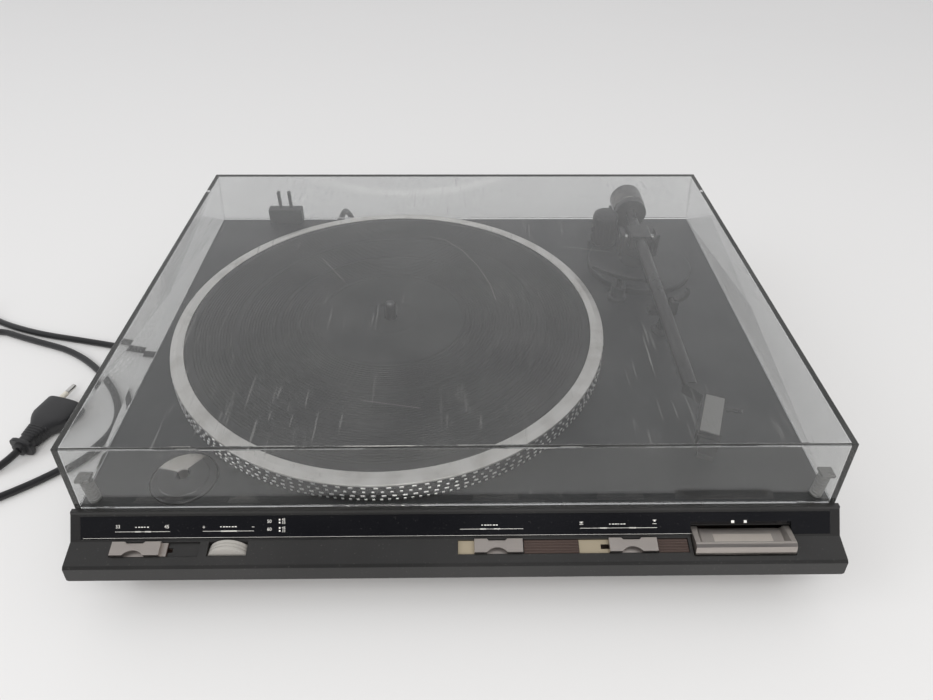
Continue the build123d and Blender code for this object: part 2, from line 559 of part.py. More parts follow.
def make_arm_rest():
    rest = post(151.0, REST_Y, 4.0, DECK_Z, 72.0)
    rest += turned([(0, DECK_Z), (7.5, DECK_Z), (7.5, 54.6), (4.0, 56.0), (0, 56.0)], 151.0, REST_Y)
    rest += box(137.5, 157.4, REST_Y - 4, REST_Y + 4, 70.0, 74.4)
    for y0, y1 in ((REST_Y - 4, REST_Y - 2.2), (REST_Y + 2.2, REST_Y + 4)):
        ear = box(151.6, 157.4, y0, y1, 74.0, 81.4)
        rest += ear
    rest += bar_y(CLIP_PIN[0], CLIP_PIN[1], 1.0, REST_Y - 4, REST_Y + 4)
    keep("arm_rest", rest)
    # the clip shut over the tube, then swung open by a quarter turn
    z = ARM_Z
    ring = bar_y(REST_X, z, 7.9, REST_Y - 1.9, REST_Y + 1.9) - bar_y(REST_X, z, 5.7, 0, 20)
    ring -= box(120, REST_X - 4.6, 0, 20, 60, 100)
    ring -= box(120, REST_X, 0, 20, 60, z)
    ring -= box(REST_X, 170, 0, 20, 60, z - 2.0)
    eye = bar_y(CLIP_PIN[0], CLIP_PIN[1], 2.6, REST_Y - 1.9, REST_Y + 1.9)
    clip = ring + eye - bar_y(CLIP_PIN[0], CLIP_PIN[1], 1.0 + RUN, 0, 20)
    swing = Pos(CLIP_PIN[0], 0, CLIP_PIN[1]) * Rot(0, 90, 0) * Pos(-CLIP_PIN[0], 0, -CLIP_PIN[1])
    keep("arm_clip", swing * clip)


LIFT_R = 52.0
LIFT_AT = 24.0


def make_lift():
    """Cueing lift: a curved bar under the tube on a rod in a damped cylinder."""
    yaw = -90.0 + ARM_YAW
    x, y = polar(PIVOT, LIFT_R, yaw - LIFT_AT)
    bore = 2.5 + RUN
    outline = [(bore, DECK_Z), (7.0, DECK_Z), (7.0, 56.0), (5.6, 57.0), (5.6, 65.0), (bore, 65.0)]
    keep("lift_cylinder", turned(outline, x, y))
    arc = post(*PIVOT, LIFT_R + 1.6, 72.0, 75.2) - post(*PIVOT, LIFT_R - 1.6, 71, 76)
    a0, a1 = yaw + 5.0, yaw - 50.0
    mid = (a0 + a1) / 2
    wedge = prism_z([PIVOT, polar(PIVOT, 80, a0), polar(PIVOT, 80, mid), polar(PIVOT, 80, a1)], 70, 77)
    bar = arc & wedge
    bar += post(x, y, 2.5, 58.4, 72.6)
    keep("lift_bar", bar)


def make_adapter():
    x, y = ADAPTER
    r = ADAPTER_R
    outline = [(3.7, 48.4), (r - 0.6, 48.4), (r, 49.2), (r, 53.2), (r - 0.8, 53.9), (r - 4.2, 54.4),
               (r - 4.8, 54.9), (6.2, 56.6), (4.9, 57.0), (3.7, 56.6)]
    keep("record_adapter", turned(outline, x, y))


# ---- mains cord and plug, lying on the table ----
COIL_AT = (-445, 84)
COIL_R = 30.0
PLUG_TAIL = (-304.7, -62.8)
PLUG_FACE = (-290.2, -16.2)
PLUG_Z = 6.85
Z = CORD_R
CORD_OUT = [
    (-110, 204, 38), (-110, 222, 38), (-109, 241, 25), (-106, 250, 9), (-97, 261, Z), (-74, 266, Z),
    (-53, 256, Z), (-42, 238, Z), (-46, 192, Z), (-64, 146, Z), (-96, 104, Z), (-137, 67, Z),
    (-180, 45, Z), (-222, 42, Z), (-252, 49, Z), (-283, 57, Z), (-316, 65, Z), (-353, 73.5, Z),
    (-391, 88, Z), (-412, 102, Z),
]
CORD_IN = [
    (-412, 66, 5.2), (-389, 79, Z), (-368, 70, Z), (-344, 61, Z), (-317, 51, Z), (-289, 31, Z),
    (-265, 4, Z), (-252, -20, Z), (-249, -41, Z), (-257, -61, Z), (-274, -80, Z), (-301, -100, Z),
    (-329, -115, Z), (-358, -124, Z), (-386, -114, Z), (-393, -88, Z), (-375, -70, Z), (-349, -71, Z),
    (-329, -81, Z), (-313, -78, 3.6), (PLUG_TAIL[0], PLUG_TAIL[1], PLUG_Z),
]


def cord_tube(name, points):
    """A round cord along straight runs joined by arcs as large as the runs allow."""
    vectors = [Vector(*p) for p in points]
    radii = []
    for a, b, c in zip(vectors, vectors[1:], vectors[2:]):
        turn = math.radians((b - a).get_angle(c - b))
        run = min((b - a).length, (c - b).length)
        radii.append(0.45 * run / math.tan(turn / 2))
    path = FilletPolyline(*vectors, radius=radii)
    section = Plane(origin=path @ 0, z_dir=path % 0) * Circle(CORD_R)
    tube = sweep(section, path=path)
    ideal = math.pi * CORD_R ** 2 * path.length
    print(name, "length", round(path.length), "volume ratio", round(tube.volume / ideal, 4),
          "radii", [round(r) for r in radii])
    keep(name, tube)
    return path.length


def make_cord():
    first = cord_tube("mains_cord_out", CORD_OUT)
    second = cord_tube("mains_cord_plug_end", CORD_IN)
    turns = 4
    ring = turned([(COIL_R - 2 * CORD_R, 0), (COIL_R + 2 * CORD_R, 0), (COIL_R + 2 * CORD_R, 4 * CORD_R),
                   (COIL_R - 2 * CORD_R, 4 * CORD_R)], *COIL_AT)
    keep("mains_cord_coil", ring)
    print("cord total", round(first + second + turns * 2 * math.pi * COIL_R))


def make_plug():
    """A flat two-pin plug lying on its side: collar, neck, body and pins."""
    tail, face = Vector(*PLUG_TAIL), Vector(*PLUG_FACE)
    along = (face - tail).normalized()
    heading = math.degrees(math.atan2(along.Y, along.X))
    length = (face - tail).length
    place = Pos(tail.X, tail.Y, PLUG_Z) * Rot(0, 0, heading)
    plan = [(0, -4.6), (3, -4.6), (3, -9.0), (6, -9.0), (6, -5.0), (14, -5.6), (20, -7.6), (26, -11.4),
            (33, -15.4), (length, -15.4)]
    plan += [(x, -y) for x, y in reversed(plan)]
    body = prism_z(plan, -PLUG_Z, PLUG_Z)
    low = -PLUG_Z
    side = [(0, -4.4), (3, -4.4), (3, -6.6), (6, -6.6), (6, -4.8), (16, -5.4), (26, low), (length, low)]
    side += [(x, -z) for x, z in reversed(side)]
    edge_on = Plane.XZ.offset(20) * Polygon(*side, align=None)
    body &= extrude(edge_on, amount=40, dir=(0, 1, 0))
    keep("mains_plug", place * body)
    low_end = (Align.CENTER, Align.CENTER, Align.MIN)
    pins = []
    for y in (-8.9, 8.9):
        pin = Rot(0, 90, 0) * Cylinder(2.0, 19, align=low_end)
        pins.append(place * Pos(length, y, 0) * pin)
    keep("plug_pins", group(*pins))


def main():
    keep("cabinet", make_cabinet())
    make_base()
    make_fascia()
    make_track_trims()
    make_sliders()
    make_pitch_wheel()
    make_button()
    make_platter()
    make_drive()
    make_electrics()
    make_back_fittings()
    make_cover()
    sockets, pins = zip(make_hinge(-1, "left"), make_hinge(1, "right"))
    keep("hinge_sockets", group(*sockets))
    keep("hinge_pins", group(*pins))
    make_arm_base()
    make_yoke()
    make_tonearm()
    make_arm_rest()
    make_lift()
    make_adapter()
    make_cord()
    make_plug()
    os.makedirs("parts", exist_ok=True)
    for name, shape in PARTS.items():
        export_step(shape, os.path.join("parts", name + ".step"))
    print(len(PARTS), "nodes")


main()
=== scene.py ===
"""Looks of an automatic record player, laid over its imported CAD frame. Metres, +Z up, front towards -Y."""
import math

import bmesh
import bpy
from mathutils import Matrix, Vector


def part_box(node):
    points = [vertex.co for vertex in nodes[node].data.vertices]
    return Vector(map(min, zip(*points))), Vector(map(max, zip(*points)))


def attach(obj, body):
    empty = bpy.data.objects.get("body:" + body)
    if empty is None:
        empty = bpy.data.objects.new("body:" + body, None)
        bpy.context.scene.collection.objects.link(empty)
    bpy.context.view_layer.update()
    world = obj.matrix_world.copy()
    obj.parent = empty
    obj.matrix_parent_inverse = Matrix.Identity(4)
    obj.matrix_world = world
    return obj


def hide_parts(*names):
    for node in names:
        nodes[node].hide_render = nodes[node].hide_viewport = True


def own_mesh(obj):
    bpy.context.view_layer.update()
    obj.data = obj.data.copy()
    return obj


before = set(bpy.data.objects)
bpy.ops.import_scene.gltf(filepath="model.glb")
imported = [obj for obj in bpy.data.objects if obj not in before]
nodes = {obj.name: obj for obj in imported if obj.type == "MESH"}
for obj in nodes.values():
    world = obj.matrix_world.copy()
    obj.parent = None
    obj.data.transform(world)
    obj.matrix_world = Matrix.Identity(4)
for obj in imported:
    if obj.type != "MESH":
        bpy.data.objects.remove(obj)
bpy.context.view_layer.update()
MM = 0.001


def centre_of(node):
    low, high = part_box(node)
    return (Vector(low) + Vector(high)) / 2


# ---- node helpers ----
class Shader:
    """One Principled material and short calls for the nodes that drive it."""

    def __init__(self, name, colour, rough, metallic=0.0, **sockets):
        self.mat = bpy.data.materials.new(name)
        self.mat.use_nodes = True
        self.nt = self.mat.node_tree
        self.bsdf = self.nt.nodes["Principled BSDF"]
        self.out = self.nt.nodes["Material Output"]
        self.set("Base Color", (*colour, 1.0))
        self.set("Roughness", rough)
        self.set("Metallic", metallic)
        for socket, value in sockets.items():
            self.set(socket.replace("_", " "), value)
        self.coords = self.nt.nodes.new("ShaderNodeTexCoord").outputs["Object"]

    def set(self, socket, value):
        self.bsdf.inputs[socket].default_value = value

    def link(self, a, b):
        self.nt.links.new(a, b)

    def node(self, kind, **inputs):
        n = self.nt.nodes.new(kind)
        for key, value in inputs.items():
            socket = n.inputs[key.replace("_", " ")]
            if isinstance(value, bpy.types.NodeSocket):
                self.link(value, socket)
            else:
                socket.default_value = value
        return n

    def math(self, op, a, b=0.0, clamp=False):
        n = self.nt.nodes.new("ShaderNodeMath")
        n.operation, n.use_clamp = op, clamp
        for socket, value in zip(n.inputs, (a, b)):
            if isinstance(value, bpy.types.NodeSocket):
                self.link(value, socket)
            else:
                socket.default_value = value
        return n.outputs[0]

    def vector(self, op, a, b=(0, 0, 0), out=0):
        n = self.nt.nodes.new("ShaderNodeVectorMath")
        n.operation = op
        for socket, value in zip(n.inputs, (a, b)):
            if isinstance(value, bpy.types.NodeSocket):
                self.link(value, socket)
            else:
                socket.default_value = value
        return n.outputs[out]

    def stretched(self, scale, turn=(0, 0, 0)):
        n = self.node("ShaderNodeMapping", Vector=self.coords)
        n.inputs["Scale"].default_value = scale
        n.inputs["Rotation"].default_value = turn
        return n.outputs[0]

    def noise(self, scale, detail=3.0, rough=0.55, at=None):
        n = self.node("ShaderNodeTexNoise", Scale=scale, Detail=detail, Roughness=rough)
        self.link(at or self.coords, n.inputs["Vector"])
        return n.outputs["Fac"]

    def span(self, value, low, high, to_low, to_high):
        n = self.node("ShaderNodeMapRange", Value=value)
        for i, v in zip((1, 2, 3, 4), (low, high, to_low, to_high)):
            n.inputs[i].default_value = v
        return n.outputs[0]

    def mix(self, fac, a, b):
        n = self.nt.nodes.new("ShaderNodeMix")
        n.data_type = "RGBA"
        for i, value in ((0, fac), (6, a), (7, b)):
            if isinstance(value, bpy.types.NodeSocket):
                self.link(value, n.inputs[i])
            else:
                n.inputs[i].default_value = value
        return n.outputs[2]

    def bump(self, height, strength, distance, normal=None):
        n = self.node("ShaderNodeBump", Height=height, Strength=strength, Distance=distance)
        if normal:
            self.link(normal, n.inputs["Normal"])
        return n.outputs[0]

    def soft_edges(self, radius):
        n = self.nt.nodes.new("ShaderNodeBevel")
        n.samples = 4
        n.inputs["Radius"].default_value = radius
        return n.outputs[0]

    def drive(self, output, socket):
        self.link(output, self.bsdf.inputs[socket])

    def turned_about(self, centre, axis=(0, 0, 1)):
        """Lathe marks: the tangent runs round an axis through a point."""
        away = self.vector("SUBTRACT", self.coords, tuple(centre))
        round_axis = self.vector("CROSS_PRODUCT", away, axis)
        self.drive(self.vector("NORMALIZE", round_axis), "Tangent")
        return away


def plastic(name, colour, rough, grain=2600, depth=0.12, dust=0.0, edge=0.0003, **sockets):
    """Moulded plastic: fine grain, uneven gloss, a little settled dust, eased edges."""
    s = Shader(name, colour, rough, **sockets)
    broad = s.noise(9, 4)
    fine = s.noise(grain, 2)
    lighter = tuple(min(1.0, c * 1.35 + 0.004) for c in colour) + (1.0,)
    tone = s.mix(s.span(broad, 0.35, 0.7, 0.0, 1.0), (*colour, 1.0), lighter)
    if dust:
        specks = s.span(s.noise(900, 2), 0.66, 0.74, 0.0, dust)
        tone = s.mix(specks, tone, (0.32, 0.31, 0.29, 1.0))
    s.drive(tone, "Base Color")
    s.drive(s.span(s.noise(40, 5), 0.3, 0.75, rough * 0.85, min(1.0, rough * 1.2)), "Roughness")
    s.drive(s.bump(fine, depth, 0.00008, s.soft_edges(edge)), "Normal")
    return s.mat


def metal(name, colour, rough, brushed=None, **sockets):
    """Metal with fine scratches along one direction, or none."""
    s = Shader(name, colour, rough, metallic=1.0, **sockets)
    at = s.stretched(brushed) if brushed else s.coords
    lines = s.noise(1500, 3, 0.6, at)
    darker = tuple(c * 0.86 for c in colour) + (1.0,)
    s.drive(s.mix(lines, darker, (*colour, 1.0)), "Base Color")
    s.drive(s.span(lines, 0.3, 0.7, rough * 0.8, rough * 1.25), "Roughness")
    s.drive(s.bump(lines, 0.15, 0.00003, s.soft_edges(0.0002)), "Normal")
    return s.mat


def turned_metal(name, colour, rough, centre, dark_below=None, axis=(0, 0, 1), painted_fan=None):
    """Metal with rings about an axis; painted dark below a height, or with a painted highlight: bright across a
    fan of directions and painted dark outside it.
    """
    s = Shader(name, colour, rough, metallic=1.0, Anisotropic=0.75)
    away = s.turned_about(centre, axis)
    across = s.vector("CROSS_PRODUCT", away, axis)
    radius = s.vector("LENGTH", across, out=1)
    along_radius = s.node("ShaderNodeCombineXYZ", X=s.math("MULTIPLY", radius, 3200.0)).outputs[0]
    rings = s.noise(1.0, 2, 0.5, along_radius)
    stains = s.noise(60, 5)
    tone = s.mix(s.span(stains, 0.45, 0.75, 0.0, 0.5), (*colour, 1.0), (0.42, 0.39, 0.35, 1.0))
    # painted highlight: the fan-shaped sheen of turned metal is painted into the base colour, bright inside the
    # fan and painted dark outside it
    if painted_fan is not None:
        lean = s.vector("DOT_PRODUCT", s.vector("NORMALIZE", across), painted_fan, out=1)
        painted_highlight = s.span(lean, 0.66, 0.74, 0.0, 1.0)
        tone = s.mix(painted_highlight, (0.07, 0.07, 0.072, 1.0), tone)
    if dark_below is not None:
        height = s.node("ShaderNodeSeparateXYZ", Vector=s.coords).outputs[2]
        bright = s.math("GREATER_THAN", height, dark_below)
        tone = s.mix(bright, (0.02, 0.02, 0.021, 1.0), tone)
        s.drive(bright, "Metallic")
    s.drive(tone, "Base Color")
    s.drive(s.bump(rings, 0.25, 0.00004, s.soft_edges(0.00025)), "Normal")
    return s.mat


def clear_cover():
    """Lightly smoked acrylic with a film of dust and years of fine scratches."""
    s = Shader("cover_acrylic", (0.82, 0.825, 0.825), 0.012, IOR=1.49, Transmission_Weight=1.0)
    marks = None
    directions = ((0.35, 0.05, 0.69), (1.2, 0.07, 0.71), (-0.5, 0.04, 0.7), (2.2, 0.08, 0.72))
    for turn, long_way, limit in directions:
        at = s.stretched((1.0, long_way, 1.0), (0, 0, turn))
        line = s.span(s.noise(420, 2, 0.4, at), limit, limit + 0.02, 0.0, 1.0)
        marks = line if marks is None else s.math("MAXIMUM", marks, line)
    patches = s.span(s.noise(14, 3), 0.42, 0.68, 0.0, 1.0)
    marks = s.math("MULTIPLY", marks, patches)
    s.drive(s.bump(marks, 0.2, 0.00003), "Normal")
    film = s.span(s.noise(22, 6), 0.3, 0.8, 0.006, 0.035)
    haze = s.math("ADD", film, s.math("MULTIPLY", marks, 0.16), clamp=True)
    dust = s.node("ShaderNodeBsdfDiffuse", Color=(0.55, 0.55, 0.53, 1.0))
    dusty = s.node("ShaderNodeMixShader", Fac=haze)
    s.link(s.bsdf.outputs[0], dusty.inputs[1])
    s.link(dust.outputs[0], dusty.inputs[2])
    rays = s.nt.nodes.new("ShaderNodeLightPath")
    passing = s.math("MAXIMUM", rays.outputs["Is Shadow Ray"], rays.outputs["Is Diffuse Ray"])
    open_way = s.node("ShaderNodeBsdfTransparent", Color=(0.78, 0.78, 0.77, 1.0))
    both = s.node("ShaderNodeMixShader", Fac=passing)
    s.link(dusty.outputs[0], both.inputs[1])
    s.link(open_way.outputs[0], both.inputs[2])
    s.link(both.outputs[0], s.out.inputs["Surface"])
    return s.mat


platter_at = centre_of("spindle")
adapter_at = centre_of("record_adapter")
weight_at = centre_of("counterweight")
ARM_AXIS = (0.0244, 0.9997, 0.0)
RIM_PAINT_TOP = 65.55 * MM
# direction of the adapter's painted highlight fan
ADAPTER_PAINTED_FAN = (0.94, 0.35, 0.0)

LOOKS = {
    "deck_black": plastic("deck_black", (0.019, 0.020, 0.022), 0.42, grain=3200, depth=0.03, dust=0.08),
    "fascia_black": plastic("fascia_black", (0.016, 0.0155, 0.015), 0.34, dust=0.12, edge=0.0006),
    "window_black": plastic("window_black", (0.004, 0.004, 0.005), 0.07, grain=300, depth=0.02, dust=0.06),
    "arm_black": plastic("arm_black", (0.018, 0.018, 0.019), 0.30, edge=0.0004),
    "rubber_black": plastic("rubber_black", (0.020, 0.020, 0.021), 0.62, grain=1800, depth=0.08, dust=0.10),
    "cord_black": plastic("cord_black", (0.012, 0.012, 0.013), 0.36, grain=1200, depth=0.08),
    "plug_black": plastic("plug_black", (0.014, 0.014, 0.015), 0.40, grain=1500, depth=0.2, edge=0.0005),
    "brown_trim": plastic("brown_trim", (0.055, 0.036, 0.030), 0.40),
    "cream": plastic("cream", (0.27, 0.23, 0.165), 0.55, grain=2000),
    "wheel_grey": plastic("wheel_grey", (0.36, 0.345, 0.32), 0.38),
    "ivory": plastic("ivory", (0.60, 0.57, 0.50), 0.45, grain=2000),
    "board": plastic("board", (0.06, 0.20, 0.09), 0.5),
    "key_silver": metal("key_silver", (0.60, 0.55, 0.51), 0.40, brushed=(0.03, 1.0, 1.0)),
    "steel": metal("steel", (0.56, 0.56, 0.56), 0.28),
    "spindle_steel": metal("spindle_steel", (0.16, 0.16, 0.16), 0.35),
    "pin_metal": metal("pin_metal", (0.74, 0.73, 0.70), 0.18),
    "dot_metal": metal("dot_metal", (0.95, 0.94, 0.92), 0.30),
    "brass": metal("brass", (0.72, 0.55, 0.28), 0.3),
    "can_steel": metal("can_steel", (0.45, 0.45, 0.46), 0.38, brushed=(1.0, 1.0, 0.05)),
    "plate_silver": metal("plate_silver", (0.38, 0.375, 0.36), 0.40, brushed=(0.05, 1.0, 1.0)),
    "platter_metal": turned_metal("platter_metal", (0.86, 0.84, 0.81), 0.33, platter_at, dark_below=RIM_PAINT_TOP),
    # the adapter's fan-shaped highlight is painted into its colour
    "adapter_metal_painted_fan": turned_metal("adapter_metal_painted_fan", (0.66, 0.63, 0.59), 0.30, adapter_at, painted_fan=ADAPTER_PAINTED_FAN),
    "weight_metal": turned_metal("weight_metal", (0.10, 0.10, 0.105), 0.30, weight_at, axis=ARM_AXIS),
    "ink": plastic("ink", (0.72, 0.70, 0.66), 0.6, grain=900, depth=0.02),
    "inlay_silver": metal("inlay_silver", (0.88, 0.81, 0.74), 0.5, brushed=(0.03, 1.0, 1.0)),
    "scratch": plastic("scratch", (0.32, 0.31, 0.30), 0.8, grain=900, depth=0.02),
    "cover_tab": plastic("cover_tab", (0.20, 0.20, 0.195), 0.3, Transmission_Weight=0.4),
    "acrylic": clear_cover(),
}

CAD_LOOKS = {
    "deck_black": ["cabinet", "arm_base", "hinge_sockets", "hinge_leaf_left", "hinge_leaf_right",
                   "lift_cylinder"],
    "fascia_black": ["fascia"],
    "window_black": ["label_window"],
    "arm_black": ["arm_yoke", "arm_bearing_block", "arm_tube", "headshell", "cartridge", "stylus_unit",
                  "finger_lift", "arm_rest", "arm_clip", "lift_bar", "anti_skate_dial", "force_dial"],
    "rubber_black": ["feet", "motor_mounts", "drive_belt", "cord_gland", "cover_bumpers", "platter_mat",
                     "ribbed_trims", "mains_cord_out", "mains_cord_coil", "mains_cord_plug_end",
                     "mains_plug", "plug_pins"],
    "brown_trim": ["base_pan", "front_switches"],
    "cream": ["indicator_strips"],
    "board": ["servo_board"],
    "key_silver": ["speed_slider", "repeat_slider", "cueing_slider", "start_button"],
    "wheel_grey": ["pitch_wheel"],
    "steel": ["base_screws", "button_spring", "thrust_ball", "hinge_pins", "pivot_screws"],
    "brass": ["bearing_bush", "motor_pulley"],
    "can_steel": ["drive_motor", "motor_bracket", "transformer", "rear_terminals", "pitch_potentiometer"],
    "plate_silver": ["shell_plate"],
    "platter_metal": ["platter"],
    "adapter_metal_painted_fan": ["record_adapter"],
    "weight_metal": ["counterweight"],
    "spindle_steel": ["spindle"],
    "acrylic": ["dust_cover", "dust_cover_front"],
}
for look, names in CAD_LOOKS.items():
    for name in names:
        materials = nodes[name].data.materials
        materials.clear()
        materials.append(LOOKS[look])


# ---- mesh helpers ----
def add_mesh(name, verts, faces, look, body, smooth=True):
    mesh = bpy.data.meshes.new(name)
    mesh.from_pydata([tuple(v) for v in verts], [], faces)
    mesh.materials.append(LOOKS[look])
    bm = bmesh.new()
    bm.from_mesh(mesh)
    bmesh.ops.recalc_face_normals(bm, faces=bm.faces)
    bm.to_mesh(mesh)
    bm.free()
    if smooth:
        mesh.shade_smooth()
        mesh.set_sharp_from_angle(angle=math.radians(38))
    obj = bpy.data.objects.new(name, mesh)
    bpy.context.scene.collection.objects.link(obj)
    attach(obj, body)
    return obj


def lathe(name, outline, centre, look, body, steps=160, axis=None):
    """A closed turned piece: (radius, height) in mm about a vertical axis, or about another axis."""
    turn = Vector((0, 0, 1)).rotation_difference(Vector(axis)).to_matrix() if axis else Matrix.Identity(3)
    verts, faces = [], []
    count = len(outline)
    for i in range(steps):
        a = 2 * math.pi * i / steps
        for r, h in outline:
            spot = Vector((r * math.cos(a), r * math.sin(a), h)) * MM
            verts.append(turn @ spot + Vector(centre))
    for i in range(steps):
        for k in range(count):
            a, b = i * count + k, i * count + (k + 1) % count
            c, d = ((i + 1) % steps) * count + (k + 1) % count, ((i + 1) % steps) * count + k
            faces.append((a, b, c, d))
    obj = add_mesh(name, verts, faces, look, body)
    clean = bmesh.new()
    clean.from_mesh(obj.data)
    bmesh.ops.remove_doubles(clean, verts=clean.verts, dist=1e-6)
    clean.to_mesh(obj.data)
    clean.free()
    return obj


class Blocks:
    """Many small eased blocks in one mesh, each laid on its own local axes."""

    def __init__(self):
        self.verts, self.faces = [], []

    def add(self, place, size, ease=0.0):
        """place: 4x4 matrix in metres; size: mm, standing on local z = 0; ease narrows its top."""
        w, d, h = (v * MM for v in size)
        e = ease * MM
        n = len(self.verts)
        rings = [(w / 2, d / 2, 0.0), (w / 2, d / 2, max(h - e, 0.0)), (w / 2 - e, d / 2 - e, h)]
        if not ease:
            rings.pop(1)
        for x, y, z in rings:
            for sx, sy in ((-1, -1), (1, -1), (1, 1), (-1, 1)):
                self.verts.append(place @ Vector((sx * x, sy * y, z)))
        for k in range(len(rings) - 1):
            for i in range(4):
                a, b = n + 4 * k + i, n + 4 * k + (i + 1) % 4
                self.faces.append((a, b, b + 4, a + 4))
        self.faces.append(tuple(n + i for i in (3, 2, 1, 0)))
        top = n + 4 * (len(rings) - 1)
        self.faces.append(tuple(top + i for i in range(4)))

    def build(self, name, look, body):
        return add_mesh(name, self.verts, self.faces, look, body, smooth=False)


def frame_at(origin, x_dir, z_dir):
    """A placing matrix in metres from an origin in mm, a local x and a local z."""
    x, z = Vector(x_dir).normalized(), Vector(z_dir).normalized()
    y = z.cross(x)
    m = Matrix((x, y, z)).transposed().to_4x4()
    m.translation = Vector(origin) * MM
    return m


# ---- camera, floor and light ----
def make_camera():
    place = Vector((-0.000778, -0.395249, 0.372463))
    yaw, pitch, roll = 0.0194, 0.6933, 0.0081
    ahead = Vector((math.sin(yaw) * math.cos(pitch), math.cos(yaw) * math.cos(pitch), -math.sin(pitch)))
    right = Vector((math.cos(yaw), -math.sin(yaw), 0.0))
    up = right.cross(ahead)
    x = right * math.cos(roll) + up * math.sin(roll)
    y = up * math.cos(roll) - right * math.sin(roll)
    data = bpy.data.cameras.new("camera")
    data.sensor_width = 36.0
    data.lens = 26.99
    data.clip_start = 0.02
    camera = bpy.data.objects.new("camera", data)
    bpy.context.scene.collection.objects.link(camera)
    turn = Matrix((x, y, -ahead)).transposed().to_4x4()
    camera.matrix_world = Matrix.Translation(place) @ turn
    bpy.context.scene.camera = camera


def make_stage():
    mesh = bpy.data.meshes.new("floor")
    r = 9.0
    mesh.from_pydata([(-r, -r, 0), (r, -r, 0), (r, r, 0), (-r, r, 0)], [], [(0, 1, 2, 3)])
    s = Shader("floor_white", (0.74, 0.735, 0.73), 0.45)
    s.drive(s.span(s.noise(3.0, 3), 0.3, 0.7, 0.40, 0.52), "Roughness")
    mesh.materials.append(s.mat)
    floor = bpy.data.objects.new("floor", mesh)
    bpy.context.scene.collection.objects.link(floor)


def make_light():
    world = bpy.data.worlds.new("room")
    bpy.context.scene.world = world
    world.use_nodes = True
    nt = world.node_tree
    sky = nt.nodes["Background"]
    # a white room that is darker low down in front of the player
    coords = nt.nodes.new("ShaderNodeTexCoord")
    dot = nt.nodes.new("ShaderNodeVectorMath")
    dot.operation = "DOT_PRODUCT"
    dot.inputs[1].default_value = (0.0, -0.78, 0.62)
    nt.links.new(coords.outputs["Generated"], dot.inputs[0])
    ramp = nt.nodes.new("ShaderNodeValToRGB")
    nt.links.new(dot.outputs["Value"], ramp.inputs[0])
    ramp.color_ramp.elements[0].position, ramp.color_ramp.elements[0].color = 0.45, (0.80, 0.80, 0.81, 1)
    ramp.color_ramp.elements[1].position, ramp.color_ramp.elements[1].color = 0.93, (0.09, 0.095, 0.11, 1)
    rays = nt.nodes.new("ShaderNodeLightPath")
    choose = nt.nodes.new("ShaderNodeMix")
    choose.data_type = "RGBA"
    nt.links.new(rays.outputs["Is Glossy Ray"], choose.inputs[0])
    choose.inputs[6].default_value = (0.80, 0.80, 0.81, 1)
    nt.links.new(ramp.outputs[0], choose.inputs[7])
    nt.links.new(choose.outputs[2], sky.inputs["Color"])
    sky.inputs["Strength"].default_value = 0.88
    for name, place, size, power, colour in (
        ("ceiling", (0.25, -1.7, 1.8), 2.0, 36.0, (1.0, 0.985, 0.96)),
        ("window", (-2.3, -0.6, 1.5), 1.5, 16.0, (0.96, 0.98, 1.0)),
    ):
        light = bpy.data.lights.new(name, "AREA")
        light.energy, light.size, light.color = power, size, colour
        lamp = bpy.data.objects.new(name, light)
        lamp.location = place
        lamp.visible_glossy = False
        lamp.rotation_euler = (-Vector(place)).to_track_quat("-Z", "Y").to_euler()
        bpy.context.scene.collection.objects.link(lamp)


make_camera()
make_stage()
make_light()
bpy.context.scene.view_settings.view_transform = "Standard"

# ---- mains cord ----
CORD_D = 5.2
Z = CORD_D / 2
CORD_OUT = [
    (-110, 204, 38), (-110, 222, 38), (-109, 241, 25), (-106, 250, 9), (-97, 261, Z), (-74, 266, Z),
    (-53, 256, Z), (-42, 238, Z), (-46, 192, Z), (-64, 146, Z), (-96, 104, Z), (-137, 67, Z),
    (-180, 45, Z), (-222, 42, Z), (-252, 49, Z), (-283, 57, Z), (-316, 65, Z), (-353, 73.5, Z),
    (-391, 88, Z), (-412, 102, Z),
]
CORD_IN = [
    (-412, 66, 5.2), (-389, 79, Z), (-368, 70, Z), (-344, 61, Z), (-317, 51, Z), (-289, 31, Z),
    (-265, 4, Z), (-252, -20, Z), (-249, -41, Z), (-257, -61, Z), (-274, -80, Z), (-301, -100, Z),
    (-329, -115, Z), (-358, -124, Z), (-386, -114, Z), (-393, -88, Z), (-375, -70, Z), (-349, -71, Z),
    (-329, -81, Z), (-313, -78, 3.6), (-304.7, -62.8, 6.85),
]
COIL_AT = (-445.0, 84.0)
COIL_R = 30.0
COIL_TURNS = 4


def coil_points():
    """Four turns, two wide and two high: outer low, inner low, inner high, outer high."""
    points = []
    start, total, shift = 31.0, COIL_TURNS * 360.0 - 62.0, 60.0
    steps = int(14 * total / 360)
    for i in range(steps + 1):
        angle = total * i / steps
        into_first, into_upper, back_out = (
            min(1.0, max(0.0, (angle - 360.0 * k + shift) / shift)) for k in (1, 2, 3))
        r = COIL_R + CORD_D / 2 - CORD_D * into_first + CORD_D * back_out
        a = math.radians(start + angle)
        points.append((COIL_AT[0] + r * math.cos(a), COIL_AT[1] + r * math.sin(a), Z + CORD_D * into_upper))
    return points


def make_cord():
    points = CORD_OUT + coil_points() + CORD_IN
    curve = bpy.data.curves.new("mains_cord", "CURVE")
    curve.dimensions = "3D"
    curve.bevel_depth = CORD_D / 2 * MM
    curve.bevel_resolution = 5
    curve.resolution_u = 8
    curve.use_fill_caps = True
    spline = curve.splines.new("NURBS")
    spline.points.add(len(points) - 1)
    for p, spot in zip(spline.points, points):
        p.co = (*(v * MM for v in spot), 1.0)
    spline.order_u = 3
    spline.use_endpoint_u = True
    curve.materials.append(LOOKS["cord_black"])
    cord = bpy.data.objects.new("mains_cord", curve)
    bpy.context.scene.collection.objects.link(cord)
    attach(cord, "plinth")
    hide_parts("mains_cord_out", "mains_cord_coil", "mains_cord_plug_end")
    return cord, [Vector(p) * MM for p in points]


